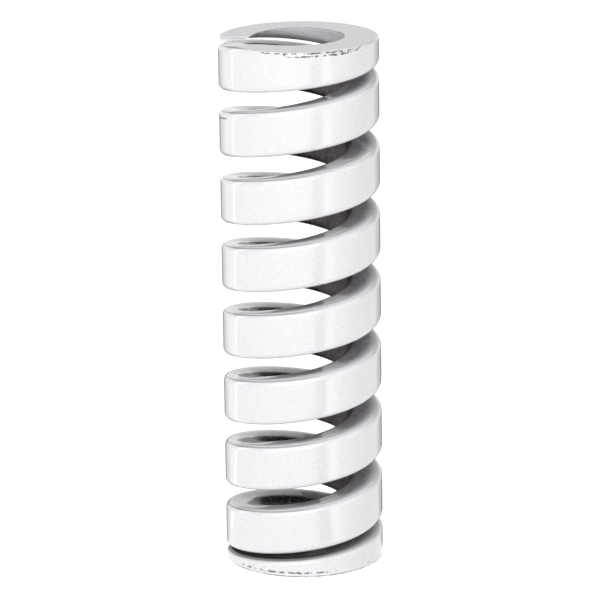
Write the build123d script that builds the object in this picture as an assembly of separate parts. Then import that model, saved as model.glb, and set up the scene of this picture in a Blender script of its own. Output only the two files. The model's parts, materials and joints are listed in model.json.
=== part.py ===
from build123d import *
import math
import os

# Die spring: one bar of rolled rectangular wire, coiled right-handed, with both ends
# closed onto the next turn and ground flat. Millimetres, +Z up along the spring's axis,
# origin at the centre of the lower ground face.

# Driving dimensions
OUTSIDE_DIAMETER = 29.65
BORE_DIAMETER = 16.4
FREE_LENGTH = 100.0
WIRE_HEIGHT = 8.75
WIRE_CORNER = 1.2
TOTAL_TURNS = 9.1
TIP_THICKNESS = 0.8
TOP_TIP_AZIMUTH = 180.0

# Each end closes up over its last turn: the pitch falls from the active one to the
# closed one across a blend that is one turn long.
CLOSED_TURNS = 1.0
CLOSED_PITCH = 8.5
BLEND_TURNS = 1.0

# Modelling choices
PATH_POINTS_PER_TURN = 16
FLATS_PER_CORNER = 3
BORE_STOCK = 0.35
OVERRUN = 10.0

# Derived sizes
outside_radius = OUTSIDE_DIAMETER / 2
bore_radius = BORE_DIAMETER / 2
wire_width = outside_radius - bore_radius
coil_radius = (outside_radius + bore_radius) / 2
ground_away = WIRE_HEIGHT - TIP_THICKNESS
total_rise = FREE_LENGTH - 2 * TIP_THICKNESS + WIRE_HEIGHT
active_pitch = (total_rise - 2 * CLOSED_TURNS * CLOSED_PITCH) / (TOTAL_TURNS - 2 * CLOSED_TURNS)


def blended_turns(turns):
    """Turns of active pitch gained over closed pitch, this many turns from a tip."""
    start = CLOSED_TURNS - BLEND_TURNS / 2
    share = min(max((turns - start) / BLEND_TURNS, 0.0), 1.0)
    beyond = max(turns - start - BLEND_TURNS, 0.0)
    return BLEND_TURNS * (share**3 - share**4 / 2) + beyond


def rise_from_tip(turns):
    return CLOSED_PITCH * turns + (active_pitch - CLOSED_PITCH) * blended_turns(turns)


def wire_centre(turns):
    """Centre of the wire, this many turns up from the lower tip."""
    if turns < TOTAL_TURNS / 2:
        rise = rise_from_tip(turns)
    else:
        rise = total_rise - rise_from_tip(TOTAL_TURNS - turns)
    azimuth = math.radians(TOP_TIP_AZIMUTH - 360 * (TOTAL_TURNS - turns))
    height = rise + WIRE_HEIGHT / 2 - ground_away
    return Vector(coil_radius * math.cos(azimuth), coil_radius * math.sin(azimuth), height)


def coil_path():
    spans = round(TOTAL_TURNS * PATH_POINTS_PER_TURN)
    return Spline(*[wire_centre(TOTAL_TURNS * i / spans) for i in range(spans + 1)])


def wire_section():
    """Rolled wire: a rectangle with its corners rounded by short flats, local X outward."""
    outer = wire_width / 2 - WIRE_CORNER
    inner = -wire_width / 2 - BORE_STOCK + WIRE_CORNER
    side = WIRE_HEIGHT / 2 - WIRE_CORNER
    corners = [(outer, side, 0), (inner, side, 90), (inner, -side, 180), (outer, -side, 270)]
    outline = []
    for x, y, first_angle in corners:
        for i in range(FLATS_PER_CORNER + 1):
            angle = math.radians(first_angle + 90 * i / FLATS_PER_CORNER)
            outline.append((x + WIRE_CORNER * math.cos(angle), y + WIRE_CORNER * math.sin(angle)))
    return make_face(Polyline(*outline, close=True))


def coiled_wire():
    path = coil_path()
    start = path @ 0
    outward = Vector(start.X, start.Y, 0)
    section_plane = Plane(origin=start, x_dir=outward, z_dir=path % 0)
    return sweep(section_plane * wire_section(), path=path, is_frenet=True)


def upright_cylinder(radius, bottom, top):
    align = (Align.CENTER, Align.CENTER, Align.MIN)
    return Pos(0, 0, bottom) * Cylinder(radius, top - bottom, align=align)


def die_spring():
    """The coil with both ends ground flat and its bore trued to the guide rod's size."""
    ground = coiled_wire() & upright_cylinder(2 * outside_radius, 0, FREE_LENGTH)
    return ground - upright_cylinder(bore_radius, -OVERRUN, FREE_LENGTH + OVERRUN)


os.makedirs("parts", exist_ok=True)
export_step(die_spring(), "parts/die_spring.step")
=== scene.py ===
import json
import math

import bpy
import numpy as np
from mathutils import Matrix, Vector


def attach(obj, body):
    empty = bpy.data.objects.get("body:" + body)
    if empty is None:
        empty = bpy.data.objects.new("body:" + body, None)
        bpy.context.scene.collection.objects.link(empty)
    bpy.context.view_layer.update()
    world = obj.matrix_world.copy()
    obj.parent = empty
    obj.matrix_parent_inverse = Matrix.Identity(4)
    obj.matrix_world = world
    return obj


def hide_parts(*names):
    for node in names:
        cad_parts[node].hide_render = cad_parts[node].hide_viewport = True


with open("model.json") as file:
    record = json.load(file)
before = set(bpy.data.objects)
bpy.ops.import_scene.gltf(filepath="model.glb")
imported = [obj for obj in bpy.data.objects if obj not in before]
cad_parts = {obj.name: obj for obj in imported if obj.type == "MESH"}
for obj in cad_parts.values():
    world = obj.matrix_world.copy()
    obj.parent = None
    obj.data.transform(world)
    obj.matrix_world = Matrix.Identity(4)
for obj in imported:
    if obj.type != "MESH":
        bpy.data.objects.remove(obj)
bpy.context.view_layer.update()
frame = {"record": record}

# Wire of the die spring. One bar of rolled rectangular spring steel, coiled hot and right-handed
# round a mandrel. Both ends close onto the next turn and are ground flat, square to the axis.
mounts = {mount["name"]: mount for mount in frame["record"]["mounts"]}
mm_per_m = 1000
bore_radius = mounts["guide_bore"]["dims"]["r_mm"] / mm_per_m
free_length = mounts["upper_seat"]["pos_m"][2] - mounts["lower_seat"]["pos_m"][2]
outside_radius = 0.014825
wire_height = 0.00875
wire_corner = 0.0012
inner_height = 0.00785
inner_corner = 0.0020
ground_edge = 0.00022
tip_thickness = 0.0008
total_turns = 9.1
top_tip_azimuth = math.pi
closed_pitch = 0.0086
lower_closed_turns, lower_blend_turns = 1.1, 1.2
upper_closed_turns, upper_blend_turns = 1.0, 0.8
rings_per_turn = 120

# The two ground tips end a little unevenly, over the last few degrees of wire. Each wave across a
# tip is its share of the depth, its radians per metre of radius and the radians that it starts at.
ragged_turns, ragged_depth, ragged_bite = 0.03, 0.0003, 0.00012
ragged_waves = ((1, 2900, 0), (0.7, 5300, 1), (0.5, 9100, 0))
bite_level, bite_waves = 0.5, ((0.3, 2300, 2), (0.2, 6100, 0))

half_width = (outside_radius - bore_radius) / 2
mid_radius = (outside_radius + bore_radius) / 2
face_drop = (wire_height - inner_height) / 2
ground_away = wire_height - tip_thickness
total_rise = free_length - 2 * tip_thickness + wire_height
closed_turns = lower_closed_turns + upper_closed_turns
active_pitch = (total_rise - closed_turns * closed_pitch) / (total_turns - closed_turns)


def rise_from_tip(turns, closed, blend):
    """Rise of the wire this many turns from a tip, as the closed pitch opens to the active one."""
    start = closed - blend / 2
    share = np.clip((turns - start) / blend, 0, 1)
    opened = blend * (share**3 - share**4 / 2) + np.maximum(turns - start - blend, 0)
    return closed_pitch * turns + (active_pitch - closed_pitch) * opened


def wire_height_at(turns):
    """Height of the wire's centre, this many turns up from the lower tip."""
    rise = np.where(
        turns < total_turns / 2,
        rise_from_tip(turns, lower_closed_turns, lower_blend_turns),
        total_rise - rise_from_tip(total_turns - turns, upper_closed_turns, upper_blend_turns),
    )
    return rise + wire_height / 2 - ground_away


def rolled_side(height, corner, outward):
    """One side of the rolled section, from the middle of its lower face round to the upper one."""
    steps = 40
    lean = math.atan2(face_drop, half_width) * outward / 2
    centre_x = half_width - corner
    centre_y = height / 2 - face_drop / 2 + centre_x * math.tan(lean) - corner / math.cos(lean)
    angles = np.linspace(0, math.pi / 2 + lean, steps)
    arc = np.stack([centre_x + corner * np.cos(angles), centre_y + corner * np.sin(angles)], axis=1)
    wall_heights = np.linspace(-centre_y, centre_y, steps + 2)[1:-1]
    wall = np.stack([np.full(steps, half_width), wall_heights], axis=1)
    flat = np.linspace(arc[-1], [0, height / 2 - face_drop / 2], steps + 1)[1:]
    upper = np.concatenate([arc, flat])
    return np.concatenate([upper[::-1] * [1, -1], wall, upper])


def cut_by_ground(side, floor_at, top_at):
    """The side's upper and lower halves, from mid height to the middle of each face, where a ground
    face may have taken some of the height away. With each half come the place of its ground edge
    and how sharply the wire turns there, as a share of a right angle."""
    low, high = max(side[0, 1], floor_at), min(side[-1, 1], top_at)
    heights = np.maximum.accumulate(side[:, 1])
    middle = (low + high) / 2
    reach_low, reach_middle, reach_high = (
        np.interp(level, heights, side[:, 0]) for level in (floor_at, middle, top_at)
    )
    halves = []
    for limit, reach, sign in ((top_at, reach_high, 1), (-floor_at, reach_low, -1)):
        kept = side[(side[:, 1] - middle) * sign > 0] * [1, sign]
        kept = kept if sign > 0 else kept[::-1]
        start = np.array([[reach_middle, middle * sign]])
        above = np.nonzero(kept[:, 1] > limit)[0]
        if len(above) == 0:
            halves.append((np.concatenate([start, kept]), None, 0.0))
            continue
        rise, beyond = kept[:above[0]], kept[above[0]:]
        before = rise[-1] if len(rise) else start[0]
        turn = math.pi / 2 + math.atan2(reach - before[0], limit - before[1])
        line = np.concatenate([start, rise, [[reach, limit]], np.minimum(beyond, [reach, limit])])
        halves.append((line, len(rise) + 1, min(turn / math.pi * 2, 1)))
    return halves


def softened(line, reach):
    """The line with its bends eased over this many points to each side."""
    kernel = np.convolve(np.ones(2 * reach + 1), np.ones(2 * reach + 1))
    kernel = kernel / kernel.sum()
    before = line[0] + (line[0] - line[1]) * np.arange(2 * reach, 0, -1)[:, None]
    beyond = line[-1] + (line[-1] - line[-2]) * np.arange(1, 2 * reach + 1)[:, None]
    padded = np.concatenate([before, line, beyond])
    return np.stack([np.convolve(padded[:, k], kernel, "valid") for k in (0, 1)], axis=1)


def meshed_quarter(line, edge, crisp):
    """Points along a quarter of the section, closest together round its corner, with any ground
    edge softened, and how far each point is from that edge in millimetres."""
    fine_points, no_length = 240, 1e-9
    straight_up, straight_in = 0.02, 0.98
    zone_reach, least_start, most_end = 1.6 * ground_edge, 0.02, 0.9
    wall_points, corner_points, face_points = 4, 13, 6

    along = np.concatenate([[0], np.cumsum(np.linalg.norm(np.diff(line, axis=0), axis=1))])
    facing = np.abs(np.gradient(line[:, 0], along + np.arange(len(along)) * no_length))
    round_part = along[(facing > straight_up) & (facing < straight_in)]
    round_start, round_end = (round_part[0], round_part[-1]) if len(round_part) else (0, along[-1] / 2)
    edge_at = round_end if edge is None else along[edge]
    even = np.linspace(0, along[-1], fine_points)
    soft = np.stack([np.interp(even, along, line[:, k]) for k in (0, 1)], axis=1)
    if edge is not None:
        soft = softened(soft, max(int(ground_edge / even[1]), 1))
    zone_start = max(min(round_start, edge_at - zone_reach), along[-1] * least_start)
    zone_end = min(edge_at + zone_reach if edge is not None else round_end, along[-1] * most_end)
    places = np.concatenate([
        np.linspace(0, zone_start, wall_points)[:-1],
        np.linspace(zone_start, zone_end, corner_points)[:-1],
        np.linspace(zone_end, along[-1], face_points),
    ])
    points = np.stack([np.interp(places, even, soft[:, k]) for k in (0, 1)], axis=1)
    return points, np.stack([(places - edge_at) * mm_per_m, np.full(len(places), crisp)], axis=1)


def waves_at(radius, waves):
    return sum(share * np.sin(radius * pitch + start) for share, pitch, start in waves)


turns = np.linspace(0, total_turns, round(total_turns * rings_per_turn) + 1)
azimuth = top_tip_azimuth - math.tau * (total_turns - turns)
centre_z = wire_height_at(turns)
upright_height = wire_height * np.sqrt(1 + (np.gradient(centre_z, azimuth) / mid_radius) ** 2)

# The quarters of the section in order round the wire, each with the way that its points run.
quarter_order = ((0, 1), (2, -1), (3, 1), (1, -1))
points, ring_marks = [], []
for turn, angle, centre, height in zip(turns, azimuth, centre_z, upright_height):
    quarters, marks = [], []
    for outward, corner in ((1, wire_corner), (-1, inner_corner)):
        halves = cut_by_ground(rolled_side(height, corner, outward), -centre, free_length - centre)
        for upward, half in zip((1, -1), halves):
            quarter, away = meshed_quarter(*half)
            quarters.append(quarter * [outward, upward])
            marks.append(away)
    section = np.concatenate([quarters[k][::way][:-1] for k, way in quarter_order])
    marks = np.concatenate([marks[k][::way][:-1] for k, way in quarter_order])
    ahead = np.roll(section, -1, axis=0) - np.roll(section, 1, axis=0)
    facing = np.degrees(np.arctan2(-ahead[:, 0], ahead[:, 1]))
    radius = mid_radius + section[:, 0]
    at_top = turn > total_turns / 2
    near_tip = max(0, 1 - min(turn, total_turns - turn) / ragged_turns)
    wander = near_tip * ragged_depth * waves_at(radius, ragged_waves) / mid_radius
    wander = wander * (1 if at_top else -1)
    low, high = section[:, 1].min(), section[:, 1].max()
    from_ground = ((high if at_top else low) - section[:, 1]) / (high - low)
    bitten = near_tip * ragged_bite * (bite_level + waves_at(radius, bite_waves))
    points.append(np.stack([
        radius * np.cos(angle + wander),
        radius * np.sin(angle + wander),
        centre + section[:, 1] + bitten * from_ground,
    ], axis=1))
    ring_marks.append(np.column_stack([
        marks, np.full(len(marks), turn), section[:, 0] / half_width, np.abs(facing), np.sign(facing)
    ]))

rings, around = len(points), len(points[0])
loops = [
    (i * around + j, (i + 1) * around + j, (i + 1) * around + after, i * around + after)
    for i in range(rings - 1)
    for j, after in zip(range(around), [*range(1, around), 0])
]
lower_end = tuple(range(around))
upper_end = tuple(range((rings - 1) * around, rings * around))[::-1]
wire_mesh = bpy.data.meshes.new("enamelled_wire")
wire_mesh.from_pydata(np.concatenate(points).tolist(), [], loops + [lower_end, upper_end])
wire_mesh.polygons.foreach_set("use_smooth", [True] * len(loops) + [False, False])

# Marks on the mesh for its finish: the distance in millimetres to the nearest edge and how crisp
# that edge is, the turn counted from the lower tip, the depth from 1 outside to -1 at the bore,
# the degrees that the surface faces from straight outward, and whether it faces up or down.
marks = np.concatenate(ring_marks)
mark_names = ("edge_distance", "edge_crispness", "turn", "depth", "facing", "side")
for column, name in enumerate(mark_names):
    attribute = wire_mesh.attributes.new(name, "FLOAT", "POINT")
    attribute.data.foreach_set("value", marks[:, column].astype(np.float32))
wire = bpy.data.objects.new("enamelled_wire", wire_mesh)
bpy.context.collection.objects.link(wire)


def add_node(tree, kind, inputs=None, **settings):
    """Adds a shader node, with its settings, and its inputs given as values or as sockets to link."""
    node = tree.nodes.new("ShaderNode" + kind)
    for name, value in settings.items():
        setattr(node, name, value)
    for name, value in (inputs or {}).items():
        if isinstance(value, bpy.types.NodeSocket):
            tree.links.new(value, node.inputs[name])
        else:
            node.inputs[name].default_value = value
    return node


def add_group(name, inputs, outputs):
    """A new node group of plain numbers, with its inputs as it gets them and its outputs to fill."""
    group = bpy.data.node_groups.new(name, "ShaderNodeTree")
    for label, value in inputs.items():
        socket = group.interface.new_socket(label, in_out="INPUT", socket_type="NodeSocketFloat")
        socket.default_value = value
    for label in outputs:
        group.interface.new_socket(label, in_out="OUTPUT", socket_type="NodeSocketFloat")
    given = group.nodes.new("NodeGroupInput").outputs
    made = group.nodes.new("NodeGroupOutput").inputs
    return group, given, made


def mark_of(tree, name):
    return add_node(tree, "Attribute", attribute_name=name).outputs["Fac"]


def place_on_part(tree):
    return add_node(tree, "TexCoord").outputs["Object"]


def math_of(tree, operation, *values):
    node = add_node(tree, "Math", {k: value for k, value in enumerate(values)}, operation=operation)
    return node.outputs["Value"]


def product_of(tree, first, *others):
    for other in others:
        first = math_of(tree, "MULTIPLY", first, other)
    return first


def spread(tree, value, low, high, at_low=0.0, at_high=1.0):
    """Value carried smoothly from at_low to at_high as it goes from low to high."""
    ramp = add_node(tree, "MapRange", {
        "Value": value, "From Min": low, "From Max": high, "To Min": at_low, "To Max": at_high
    }, interpolation_type="SMOOTHSTEP")
    return ramp.outputs["Result"]


def within(tree, value, rise, fall):
    """One between a rise and a fall, each given by where it starts and ends, and zero beyond them."""
    return product_of(tree, spread(tree, value, *rise), spread(tree, value, *fall, 1.0, 0.0))


def blend(tree, share, first, second):
    factor, colour_a, colour_b, colour_out = 0, 6, 7, 2
    mix = add_node(tree, "Mix", {factor: share, colour_a: first, colour_b: second}, data_type="RGBA")
    return mix.outputs[colour_out]


def chipped_edge():
    """Node group for enamel broken along a ground edge: where bare steel shows, and how much of the
    film is left beside it."""
    broad_scale, fine_scale, wander_size = 1300, 2600, 1.6
    chip_rim, chip_onset, chip_crispness = (0.35, 0.6), (-0.03, 0.05), (0.55, 0.8)
    film_rim, film_crispness = (0.4, 1.6), (0.2, 0.6)

    group, given, made = add_group(
        "chipped_edge",
        {"Distance": 0.0, "Crispness": 0.0, "Reach": 0.2, "Amount": 0.5},
        ("Bare", "Ragged"),
    )
    place = place_on_part(group)
    broad = add_node(group, "TexNoise", {"Vector": place, "Scale": broad_scale, "Detail": 2.0})
    fine = add_node(group, "TexNoise", {"Vector": place, "Scale": fine_scale, "Detail": 2.0})
    away = math_of(group, "DIVIDE", math_of(group, "ABSOLUTE", given["Distance"]), given["Reach"])
    wander = math_of(group, "MULTIPLY_ADD", fine.outputs["Fac"], wander_size, -wander_size / 2)
    near = spread(group, math_of(group, "ADD", away, wander), *chip_rim, 1.0, 0.0)
    unworn = math_of(group, "SUBTRACT", 1.0, given["Amount"])
    worn = spread(group, math_of(group, "SUBTRACT", broad.outputs["Fac"], unworn), *chip_onset)
    worn = product_of(group, worn, spread(group, given["Crispness"], *chip_crispness))
    group.links.new(product_of(group, near, worn), made["Bare"])
    rim = spread(group, away, *film_rim, 1.0, 0.0)
    ragged = product_of(group, rim, spread(group, given["Crispness"], *film_crispness))
    group.links.new(ragged, made["Ragged"])
    return group


def speckled_film():
    """Node group for the film's own grain: a shade of fine dust, the height of its orange peel, and
    a few dark specks, of which Specks is the share of places that has one."""
    dust_range, speck_scale, speck_rim = (0.38, 0.62), 330, (0.04, 0.07)

    group, given, made = add_group(
        "speckled_film", {"Grain": 2500.0, "Peel": 700.0, "Specks": 0.05}, ("Shade", "Height", "Speck")
    )
    place = place_on_part(group)
    grain = add_node(group, "TexNoise", {"Vector": place, "Scale": given["Grain"], "Detail": 2.0})
    peel = add_node(group, "TexNoise", {"Vector": place, "Scale": given["Peel"], "Detail": 1.0})
    group.links.new(spread(group, grain.outputs["Fac"], *dust_range), made["Shade"])
    group.links.new(peel.outputs["Fac"], made["Height"])
    cells = add_node(group, "TexVoronoi", {"Vector": place, "Scale": speck_scale})
    lot = add_node(group, "SeparateColor", {"Color": cells.outputs["Color"]}).outputs["Red"]
    drawn = math_of(group, "LESS_THAN", lot, given["Specks"])
    spot = spread(group, cells.outputs["Distance"], *speck_rim, 1.0, 0.0)
    group.links.new(product_of(group, spot, drawn), made["Speck"])
    return group


def worn_share(tree, turn):
    """How far a ground edge has lost its enamel: most along the front of each end, and only on the
    outer half of the wire."""
    upper_front = (8.25, 8.29), (8.46, 8.50)
    upper_easing = (8.34, 8.40, 1.0, 0.75)
    lower_front = (0.18, 0.22), (0.38, 0.43)
    least_worn, most_worn = 0.36, 0.54
    outer_half = (0.3, 0.6)

    upper = product_of(tree, within(tree, turn, *upper_front), spread(tree, turn, *upper_easing))
    lower = within(tree, turn, *lower_front)
    worn = spread(tree, math_of(tree, "MAXIMUM", upper, lower), 0, 1, least_worn, most_worn)
    return product_of(tree, worn, spread(tree, mark_of(tree, "depth"), *outer_half))


# White enamel, sprayed on over a dark primer and the scale of the rolling mill. The grey, brown and
# black also serve as painted shade, and the grey as a painted highlight on one inner edge.
enamel_white = (0.865, 0.855, 0.88, 1)
thin_film_and_shading_grey = (0.30, 0.28, 0.31, 1)
primer_and_shade_brown = (0.185, 0.145, 0.15, 1)
scale_and_shadow_black = (0.035, 0.031, 0.034, 1)
deep_shade_black = (0.007, 0.006, 0.0065, 1)
bare_steel = (0.09, 0.082, 0.078, 1)
chips, film = chipped_edge(), speckled_film()

enamel = bpy.data.materials.new("white_enamel")
enamel.use_nodes = True
tree = enamel.node_tree
shader = tree.nodes["Principled BSDF"]
facing, side, depth, turn = (mark_of(tree, name) for name in ("facing", "side", "depth", "turn"))
edge_distance, edge_crispness = mark_of(tree, "edge_distance"), mark_of(tree, "edge_crispness")
place = add_node(tree, "SeparateXYZ", {"Vector": place_on_part(tree)})
across_x, across_y, up = (place.outputs[axis] for axis in "XYZ")
faces_up, faces_down = spread(tree, side, 0, 1), spread(tree, side, -1, 0, 1.0, 0.0)
grain = add_node(tree, "Group", node_tree=film, inputs={"Grain": 2700.0, "Peel": 650.0, "Specks": 0.05})
dust, peel_height = grain.outputs["Shade"], grain.outputs["Height"]

# Chips sit a little way down the wall from a ground edge, further at the lower end.
lower_chip_drop, upper_chip_drop = 1.4, 0.33
chip_drop = spread(tree, side, -1, 1, lower_chip_drop, upper_chip_drop)
chipped = add_node(tree, "Group", node_tree=chips, inputs={
    "Distance": math_of(tree, "ADD", edge_distance, chip_drop),
    "Crispness": edge_crispness, "Reach": 0.34, "Amount": worn_share(tree, turn),
})

# The film is painted thinner and darker across each face towards the bore: partly a thinner spray,
# partly painted shade in the hollows between turns. It is painted lightest at the front left and
# darker at the back, as painted light and shade.
bore_side_to_outside, thinnest_on_face = (-0.1, 0.92), 0.62
# The rounded inner corners take painted deep shade, faded out towards the left of the bore.
round_inner_corner = (96, 130)
left_of_bore, corner_shade_at_left = (-0.0088, -0.0077), 0.05
front_left_to_right, front_left_shade = (-0.006, 0.003), 0.25
front_to_back, back_shade = (0.0, 0.007), 1.12
corner_shade_fade = spread(tree, across_x, *left_of_bore, corner_shade_at_left, 1.0)
shaded_round_corner = product_of(tree, spread(tree, facing, *round_inner_corner), corner_shade_fade)
front_shade = spread(tree, across_x, *front_left_to_right, front_left_shade, 1.0)
thinned_and_shaded = product_of(
    tree,
    spread(tree, depth, *bore_side_to_outside, thinnest_on_face, 0.0),
    spread(tree, across_y, *front_to_back, front_shade, back_shade),
)
thinned_and_shaded = math_of(tree, "MAXIMUM", thinned_and_shaded, shaded_round_corner)

# At the open upper end the bore is painted lighter: partly spray that got in, partly painted light
# where the end is better lit.
open_turns, open_share, open_facing = (total_turns - 1.1, total_turns - 0.5), 0.75, (98, 122)
open_end_lightening = product_of(
    tree, spread(tree, turn, *open_turns, 0.0, open_share), spread(tree, facing, *open_facing)
)
thinned_and_shaded = math_of(tree, "SUBTRACT", thinned_and_shaded, product_of(tree, shaded_round_corner, open_end_lightening))
thin_range, primer_range = (0, 0.6), (0.5, 1.0)
# Painted shade: the thinned and shaded share greys the enamel, then browns it towards the primer.
colour = blend(tree, spread(tree, thinned_and_shaded, *thin_range), enamel_white, thin_film_and_shading_grey)
colour = blend(tree, spread(tree, thinned_and_shaded, *primer_range), colour, primer_and_shade_brown)

# The rounded inner corners are painted near-black and metallic as painted deep shade in the coil,
# faded out at the left. A thin lighter line on the right, along the edge between the corner and the
# bore wall, is a painted highlight.
corner_shade_start, corner_shade_end, corner_shade_share = (97, 118), (140, 165), 0.95
shaded_corner = within(tree, facing, corner_shade_start, corner_shade_end)
shaded_corner = product_of(tree, shaded_corner, math_of(tree, "SUBTRACT", corner_shade_share, open_end_lightening), corner_shade_fade)
colour = blend(tree, shaded_corner, colour, deep_shade_black)
edge_light_start, edge_light_end = (140, 147), (152, 160)
edge_light_right, edge_light_share = (0.002, 0.006), 0.7
# Painted highlight: a lighter grey line along the inner edge, on the right only.
painted_edge_highlight = product_of(
    tree,
    within(tree, facing, edge_light_start, edge_light_end),
    spread(tree, across_x, *edge_light_right, 0.0, edge_light_share),
)
colour = blend(tree, painted_edge_highlight, colour, thin_film_and_shading_grey)

# Dust and starved spots show most where the film is painted thin and shaded.
dusty_range, least_dusty, most_dusty = (0.2, 0.8), 0.09, 0.6
dusty = product_of(tree, dust, spread(tree, thinned_and_shaded, *dusty_range, least_dusty, most_dusty))
colour = blend(tree, dusty, colour, thin_film_and_shading_grey)
starved_peel, starved_range, most_starved = (0.42, 0.62), (0.15, 0.5), 0.3
starved = product_of(
    tree,
    spread(tree, peel_height, *starved_peel),
    spread(tree, thinned_and_shaded, *starved_range, 0.0, most_starved),
)
colour = blend(tree, starved, colour, scale_and_shadow_black)

# A thin grey line is painted along the upper outer corner, strongest on the left: partly the film
# drawing back there, partly painted shade for the corner's dark reflection.
shoulder_start, shoulder_end, outer_part = (36, 46), (50, 60), (0.5, 0.7)
left_to_right, line_left, line_right = (-0.002, 0.007), 0.85, 0.15
line = product_of(
    tree,
    within(tree, facing, shoulder_start, shoulder_end),
    faces_up,
    spread(tree, depth, *outer_part),
    spread(tree, across_x, *left_to_right, line_left, line_right),
)
colour = blend(tree, line, colour, thin_film_and_shading_grey)

# Where the lowest turns press together the groove is painted near-black: partly steel the spray never
# reached, partly painted contact shadow, over the first turn and under the second one.
over_end, over_easing, over_facing = (1.0, 1.35), (0.34, 0.6, 1.0, 0.3), (12, 82)
under_start, under_end = (0.95, 1.05), (2.0, 2.35)
under_easing, under_facing = (1.40, 1.62, 1.0, 0.45), (60, 85)
groove_facing = (92, 100)
over = product_of(
    tree,
    faces_up,
    spread(tree, turn, *over_end, 1.0, 0.0),
    spread(tree, turn, *over_easing),
    spread(tree, facing, *over_facing),
)
under = product_of(
    tree,
    faces_down,
    within(tree, turn, under_start, under_end),
    spread(tree, turn, *under_easing),
    spread(tree, facing, *under_facing),
)
shadowed_groove = math_of(tree, "MAXIMUM", over, under)
shadowed_groove = product_of(tree, shadowed_groove, spread(tree, facing, *groove_facing, 1.0, 0.0))
colour = blend(tree, shadowed_groove, colour, scale_and_shadow_black)

# A nick in the shoulder of the second turn from the top, with a painted highlight above it.
nick_turn, nick_rise = 7.15, 0.0029
nick_start, nick_end = (nick_turn - 0.04, nick_turn - 0.03), (nick_turn + 0.015, nick_turn + 0.03)
nick_half_height, highlight_height, highlight_half_height = (0.10, 0.2), 0.3, (0.05, 0.15)
nick_height = float(wire_height_at(nick_turn)) + nick_rise
rise = product_of(tree, math_of(tree, "SUBTRACT", turn, nick_turn), active_pitch)
above = math_of(tree, "SUBTRACT", math_of(tree, "SUBTRACT", up, nick_height), rise)
above = product_of(tree, above, mm_per_m)
along = within(tree, turn, nick_start, nick_end)
from_nick = math_of(tree, "ABSOLUTE", above)
from_highlight = math_of(tree, "ABSOLUTE", math_of(tree, "SUBTRACT", above, highlight_height))
cut = product_of(tree, along, spread(tree, from_nick, *nick_half_height, 1.0, 0.0))
nick_highlight = product_of(tree, along, spread(tree, from_highlight, *highlight_half_height, 1.0, 0.0))
colour = blend(tree, nick_highlight, colour, enamel_white)
colour = blend(tree, cut, colour, bare_steel)

# A bead of enamel gathered on both tips. The edge of the lower ground face is knocked bare, and that
# dotted line also serves as painted contact shadow along the edge.
lower_bead, upper_bead = (0.004, 0.010), (total_turns - 0.010, total_turns - 0.004)
bead = math_of(
    tree, "MAXIMUM", spread(tree, turn, *lower_bead, 1, 0), spread(tree, turn, *upper_bead)
)
colour = blend(tree, bead, colour, enamel_white)
knock_drop, knock_half_height, knock_share = 0.16, (0.10, 0.24), 0.75
knock_crispness, knock_peel = (0.55, 0.8), (0.40, 0.55, 0.35, 1.0)
from_knock = math_of(tree, "ABSOLUTE", math_of(tree, "ADD", edge_distance, knock_drop))
knocked_and_shaded_edge = product_of(
    tree,
    spread(tree, from_knock, *knock_half_height, knock_share, 0.0),
    spread(tree, edge_crispness, *knock_crispness),
    faces_down,
    spread(tree, peel_height, *knock_peel),
)
colour = blend(tree, knocked_and_shaded_edge, colour, primer_and_shade_brown)
colour = blend(tree, grain.outputs["Speck"], colour, bare_steel)
colour = blend(tree, chipped.outputs["Bare"], colour, bare_steel)
tree.links.new(colour, shader.inputs["Base Color"])

# Full film is glossy; starved and shaded film, the shaded groove, the painted dark corners and the
# faces' inner edges are dull, and the dark corners are metallic.
corner_metallic, dull_range, dull_facing = 0.9, (0.5, 0.95), (92, 99)
glossy, dulled = {"Roughness": 0.28, "Coat Weight": 0.8}, {"Roughness": 0.6, "Coat Weight": 0.05}
tree.links.new(product_of(tree, shaded_corner, corner_metallic), shader.inputs["Metallic"])
dull = math_of(tree, "MAXIMUM", spread(tree, thinned_and_shaded, *dull_range), shadowed_groove)
dull_corner = math_of(tree, "MAXIMUM", shaded_corner, spread(tree, facing, *dull_facing))
dull = math_of(tree, "MAXIMUM", dull, dull_corner)
for name in glossy:
    tree.links.new(spread(tree, dull, 0, 1, glossy[name], dulled[name]), shader.inputs[name])
shader.inputs["Coat Roughness"].default_value = 0.04
peel = add_node(tree, "Bump", {"Strength": 0.12, "Distance": 0.00004, "Height": peel_height})
tree.links.new(peel.outputs["Normal"], shader.inputs["Normal"])
wire_mesh.materials.append(enamel)

# The ground ends took the same enamel over a rougher face, so it is duller and speckled there.
ground_white, ground_grey = (0.91, 0.875, 0.915, 1), (0.62, 0.59, 0.62, 1)
speckle_share, rim_share = 0.35, 0.6
ground_enamel = bpy.data.materials.new("enamel_on_ground_face")
ground_enamel.use_nodes = True
tree = ground_enamel.node_tree
shader = tree.nodes["Principled BSDF"]
grain = add_node(tree, "Group", node_tree=film, inputs={"Grain": 2400.0, "Peel": 900.0, "Specks": 0.02})
chipped = add_node(tree, "Group", node_tree=chips, inputs={
    "Distance": mark_of(tree, "edge_distance"), "Crispness": mark_of(tree, "edge_crispness"),
    "Reach": 0.3, "Amount": worn_share(tree, mark_of(tree, "turn")),
})
speckled = spread(tree, grain.outputs["Shade"], 0, 1, 0.0, speckle_share)
colour = blend(tree, speckled, ground_white, ground_grey)
colour = blend(tree, product_of(tree, chipped.outputs["Ragged"], rim_share), colour, enamel_white)
colour = blend(tree, chipped.outputs["Bare"], colour, bare_steel)
tree.links.new(colour, shader.inputs["Base Color"])
shader.inputs["Roughness"].default_value = 0.5
shader.inputs["Coat Weight"].default_value = 0.25
shader.inputs["Coat Roughness"].default_value = 0.35
peel = add_node(tree, "Bump", {"Strength": 0.3, "Distance": 0.00004, "Height": grain.outputs["Height"]})
tree.links.new(peel.outputs["Normal"], shader.inputs["Normal"])
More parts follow.
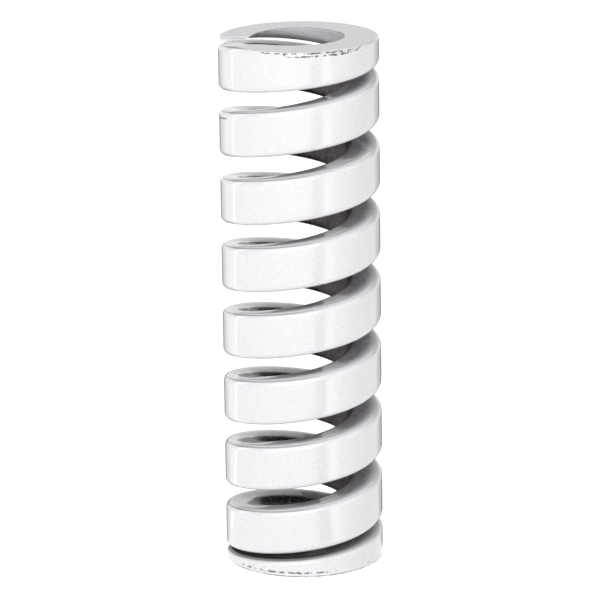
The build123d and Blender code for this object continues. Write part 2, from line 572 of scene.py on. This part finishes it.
wire_mesh.materials.append(ground_enamel)
flush = 1e-5
middles = np.empty(len(wire_mesh.polygons) * 3)
wire_mesh.polygons.foreach_get("center", middles)
middle_z = middles[2::3]
on_ground = (middle_z < flush) | (middle_z > free_length - flush)
wire_mesh.polygons.foreach_set("material_index", on_ground.astype(int))

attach(wire, "root")
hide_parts("die_spring")


# Floor. A wide sheet of matt white paper lies under the spring and takes its soft shadow. It glows
# a little where it is seen straight on or mirrored, and adds no light to the spring.
def seen_directly(tree):
    """One for rays that see a surface from the camera, mirrored or through glass."""
    rays = add_node(tree, "LightPath").outputs
    seen = math_of(tree, "MAXIMUM", rays["Is Camera Ray"], rays["Is Glossy Ray"])
    return math_of(tree, "MAXIMUM", seen, rays["Is Transmission Ray"])


paper_glow = 0.6
bpy.ops.mesh.primitive_plane_add(size=6, location=(0, 1.5, 0))
floor = bpy.context.object
floor.name = "paper_floor"
paper = bpy.data.materials.new("white_paper")
paper.use_nodes = True
tree = paper.node_tree
shader = tree.nodes["Principled BSDF"]
shader.inputs["Base Color"].default_value = (0.9, 0.9, 0.9, 1)
shader.inputs["Roughness"].default_value = 0.8
shader.inputs["Emission Color"].default_value = (1, 1, 1, 1)
tree.links.new(product_of(tree, seen_directly(tree), paper_glow), shader.inputs["Emission Strength"])
floor.data.materials.append(paper)

# Studio light. A white room with a wide soft lamp in front on each side and a gap between them, a
# narrow strip at the left and a strip high behind.
room_light, room_seen = 0.3, 1.0
spring_middle = Vector((0, 0, 0.05))
world = bpy.data.worlds.new("white_room")
world.use_nodes = True
bpy.context.scene.world = world
tree = world.node_tree
background = tree.nodes["Background"]
background.inputs["Color"].default_value = (1, 1, 1, 1)
room_strength = spread(tree, seen_directly(tree), 0, 1, room_light, room_seen)
tree.links.new(room_strength, background.inputs["Strength"])


def add_softbox(name, place, width, height, energy):
    lamp = bpy.data.lights.new(name, "AREA")
    lamp.shape = "RECTANGLE"
    lamp.size, lamp.size_y = width, height
    lamp.energy = energy
    softbox = bpy.data.objects.new(name, lamp)
    softbox.location = place
    softbox.rotation_euler = (spring_middle - softbox.location).to_track_quat("-Z", "Y").to_euler()
    bpy.context.collection.objects.link(softbox)


add_softbox("left_softbox", place=(-0.34, -0.94, 0.47), width=1.6, height=0.9, energy=9.3)
add_softbox("right_softbox", place=(0.88, -0.47, 0.42), width=1.0, height=0.8, energy=2.4)
add_softbox("side_strip", place=(-0.95, 0.33, 0.30), width=0.06, height=0.6, energy=1.0)
add_softbox("rear_strip", place=(0, 0.55, 0.75), width=0.9, height=0.2, energy=1.7)


# Cards on the table and a dark cloth hung high behind, which only show in the enamel. The cards
# draw the upright streaks and edges of the walls, and the cloth darkens the faces on the right.
def stand_in_reflections(name, corners, shade, glow):
    """A flat sheet of this shade and glow that only shows in reflections."""
    mesh = bpy.data.meshes.new(name)
    mesh.from_pydata(corners, [], [(0, 1, 2, 3)])
    sheet = bpy.data.objects.new(name, mesh)
    bpy.context.collection.objects.link(sheet)
    sheet.visible_camera = sheet.visible_diffuse = sheet.visible_shadow = False
    stock = bpy.data.materials.new(name)
    stock.use_nodes = True
    coat = stock.node_tree.nodes["Principled BSDF"]
    coat.inputs["Base Color"].default_value = (shade, shade, shade, 1)
    coat.inputs["Roughness"].default_value = 0.9
    coat.inputs["Emission Color"].default_value = (1, 1, 1, 1)
    coat.inputs["Emission Strength"].default_value = glow
    mesh.materials.append(stock)
    return sheet


def lay_card(name, bearings, reaches, shade, glow, sides=(0, 0)):
    """A card on the table between two bearings from the front, in degrees, and two distances. A
    side of -1 or 1 starts that edge of the card at the left or right of the coil, not at its middle."""
    above_table = 0.0005
    (start, end), (near, far) = bearings, reaches
    outline = (near, start, sides[0]), (far, start, sides[0]), (far, end, sides[1]), (near, end, sides[1])
    corners = [
        (reach * math.sin(math.radians(bearing)) + side * outside_radius,
         -reach * math.cos(math.radians(bearing)), above_table)
        for reach, bearing, side in outline
    ]
    stand_in_reflections(name, corners, shade, glow)


behind, in_front = (0.002, 0.62), (0.03, 0.6)
lay_card("black_card", (158, 202), behind, shade=0.01, glow=0, sides=(1, -1))
lay_card("grey_card_right", (138, 158), behind, shade=0.3, glow=0.2, sides=(1, 1))
lay_card("grey_card_left", (202, 222), behind, shade=0.3, glow=0.35, sides=(-1, -1))
lay_card("dark_card", (17, 32), in_front, shade=0.02, glow=0)
lay_card("bright_card", (34, 46), in_front, shade=0.8, glow=1.6)
lay_card("lit_card", (-111, -108), in_front, shade=0.8, glow=3)

cloth_reach, cloth_behind, cloth_foot, cloth_head = 2.5, 1.6, 0.72, 2.6
cloth_corners = [
    (-cloth_reach, cloth_behind, cloth_foot), (cloth_reach, cloth_behind, cloth_foot),
    (cloth_reach, cloth_behind, cloth_head), (-cloth_reach, cloth_behind, cloth_head),
]
cloth = stand_in_reflections("dark_cloth", cloth_corners, shade=0.03, glow=0)
cloth.visible_transmission = False

# Camera. A long lens a little above the spring looks down at its middle. It is turned a touch
# about its own axis.
camera = bpy.data.cameras.new("camera")
camera.sensor_width = 36
camera.lens = 238.1
camera_object = bpy.data.objects.new("camera", camera)
camera_object.location = (0, -0.71748, 0.24245)
aimed_at, roll_degrees = Vector((-0.00032, 0, 0.04976)), -0.7527
view_axis = (aimed_at - camera_object.location).to_track_quat("-Z", "Y").to_matrix()
roll = Matrix.Rotation(math.radians(roll_degrees), 3, "Z")
camera_object.rotation_euler = (view_axis @ roll).to_euler()
bpy.context.collection.objects.link(camera_object)
bpy.context.scene.camera = camera_object

bpy.context.scene.view_settings.view_transform = "Standard"
